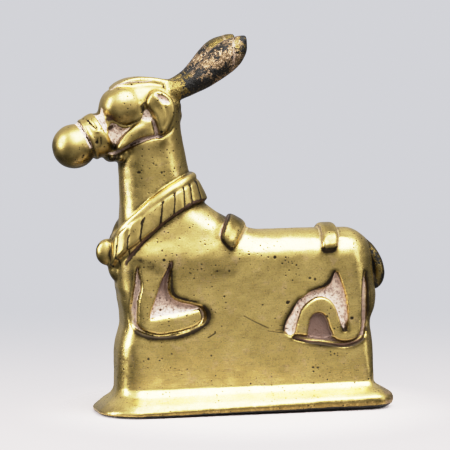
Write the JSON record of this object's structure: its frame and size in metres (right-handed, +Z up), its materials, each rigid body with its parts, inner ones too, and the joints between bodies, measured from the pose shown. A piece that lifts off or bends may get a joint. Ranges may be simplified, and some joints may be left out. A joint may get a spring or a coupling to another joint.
{
  "type": "nandi bull figure",
  "caption": "Small cast brass bull lying on a slab block with a flared plinth, with garland, straps and swept-back horns.",
  "frame": {"origin": "middle of the face that the plinth stands on", "axes": "the bull faces -X, its left flank faces -Y, +Z is up"},
  "size_m": [0.0678, 0.0202, 0.0739],
  "materials": {
    "brass": "polished cast brass, worn bright, with pinholes, dark and pinkish residue in the carving, soot on the horns"
  },
  "bodies": {
    "root": {"nandi_bull": "brass"}
  },
  "joints": []
}
